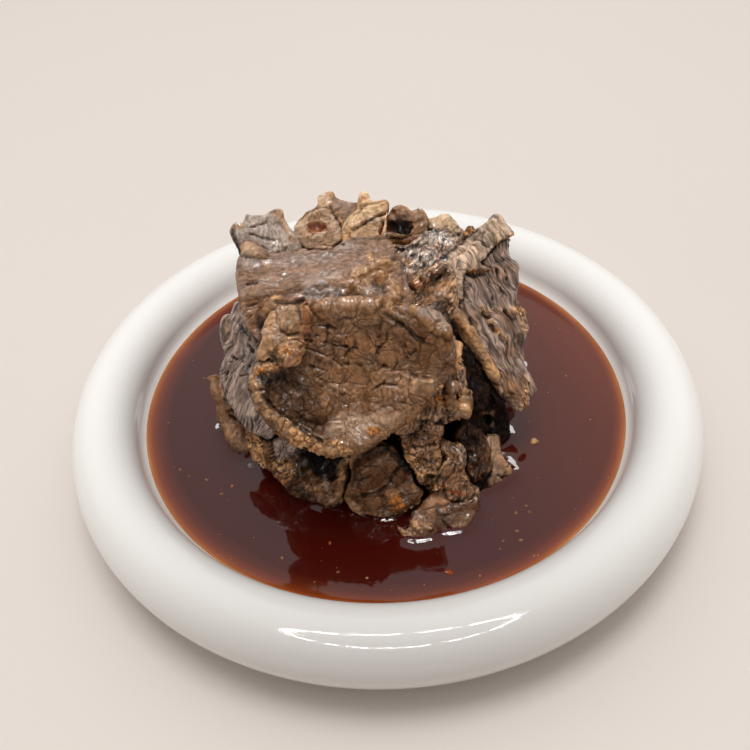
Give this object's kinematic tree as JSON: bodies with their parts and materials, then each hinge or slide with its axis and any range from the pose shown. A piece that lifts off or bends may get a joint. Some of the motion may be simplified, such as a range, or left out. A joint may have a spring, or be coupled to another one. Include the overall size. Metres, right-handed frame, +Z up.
{
  "type": "beef tapa in sauce on a plate",
  "caption": "A heap of cooked marinated beef slices standing in dark soy sauce on a round plate with a fat rolled rim.",
  "frame": {"origin": "on the table under the middle of the plate, in the plane that its foot ring rests on", "axes": "+Z up, -Y towards the viewer of the heap's front, +X to the viewer's right"},
  "size_m": [0.1802, 0.1802, 0.0737],
  "materials": {
    "plate_glaze": "glossy white glaze",
    "dark_sauce": "glossy dark soy sauce",
    "brown_beef": "moist brown cooked beef",
    "grey_beef": "moist grey-brown cooked beef",
    "dark_beef": "wet dark beef soaked in sauce",
    "tan_fat": "browned fat and tendon"
  },
  "bodies": {
    "root": {"plate": "plate_glaze", "sauce": "dark_sauce", "front_slice": "brown_beef", "top_slice": "brown_beef", "rolled_slice": "brown_beef", "peak_slice": "brown_beef", "small_peak": "brown_beef", "tan_flap": "brown_beef", "under_slice": "brown_beef", "low_middle": "brown_beef", "neck_piece": "brown_beef", "left_foot": "brown_beef", "left_curl": "brown_beef", "left_side_high": "brown_beef", "left_side_low": "brown_beef", "right_side_high": "brown_beef", "rear_top": "brown_beef", "rear_middle": "brown_beef", "rear_middle_low": "brown_beef", "upright_slice": "grey_beef", "right_slice": "grey_beef", "wet_slice": "grey_beef", "left_slice": "grey_beef", "grey_lump": "grey_beef", "rear_left_high": "grey_beef", "rear_right_high": "grey_beef", "dark_curl": "dark_beef", "low_left": "dark_beef", "sauce_piece": "dark_beef", "right_lobe": "dark_beef", "dark_lump": "dark_beef", "deep_slice": "dark_beef", "deep_curl": "dark_beef", "second_slice": "dark_beef", "inner_meat": "dark_beef", "rear_left_low": "dark_beef", "rear_right_low": "dark_beef", "right_side_low": "dark_beef", "fat_lump": "tan_fat", "fat_strip": "tan_fat", "fat_strands": "tan_fat"}
  },
  "joints": []
}
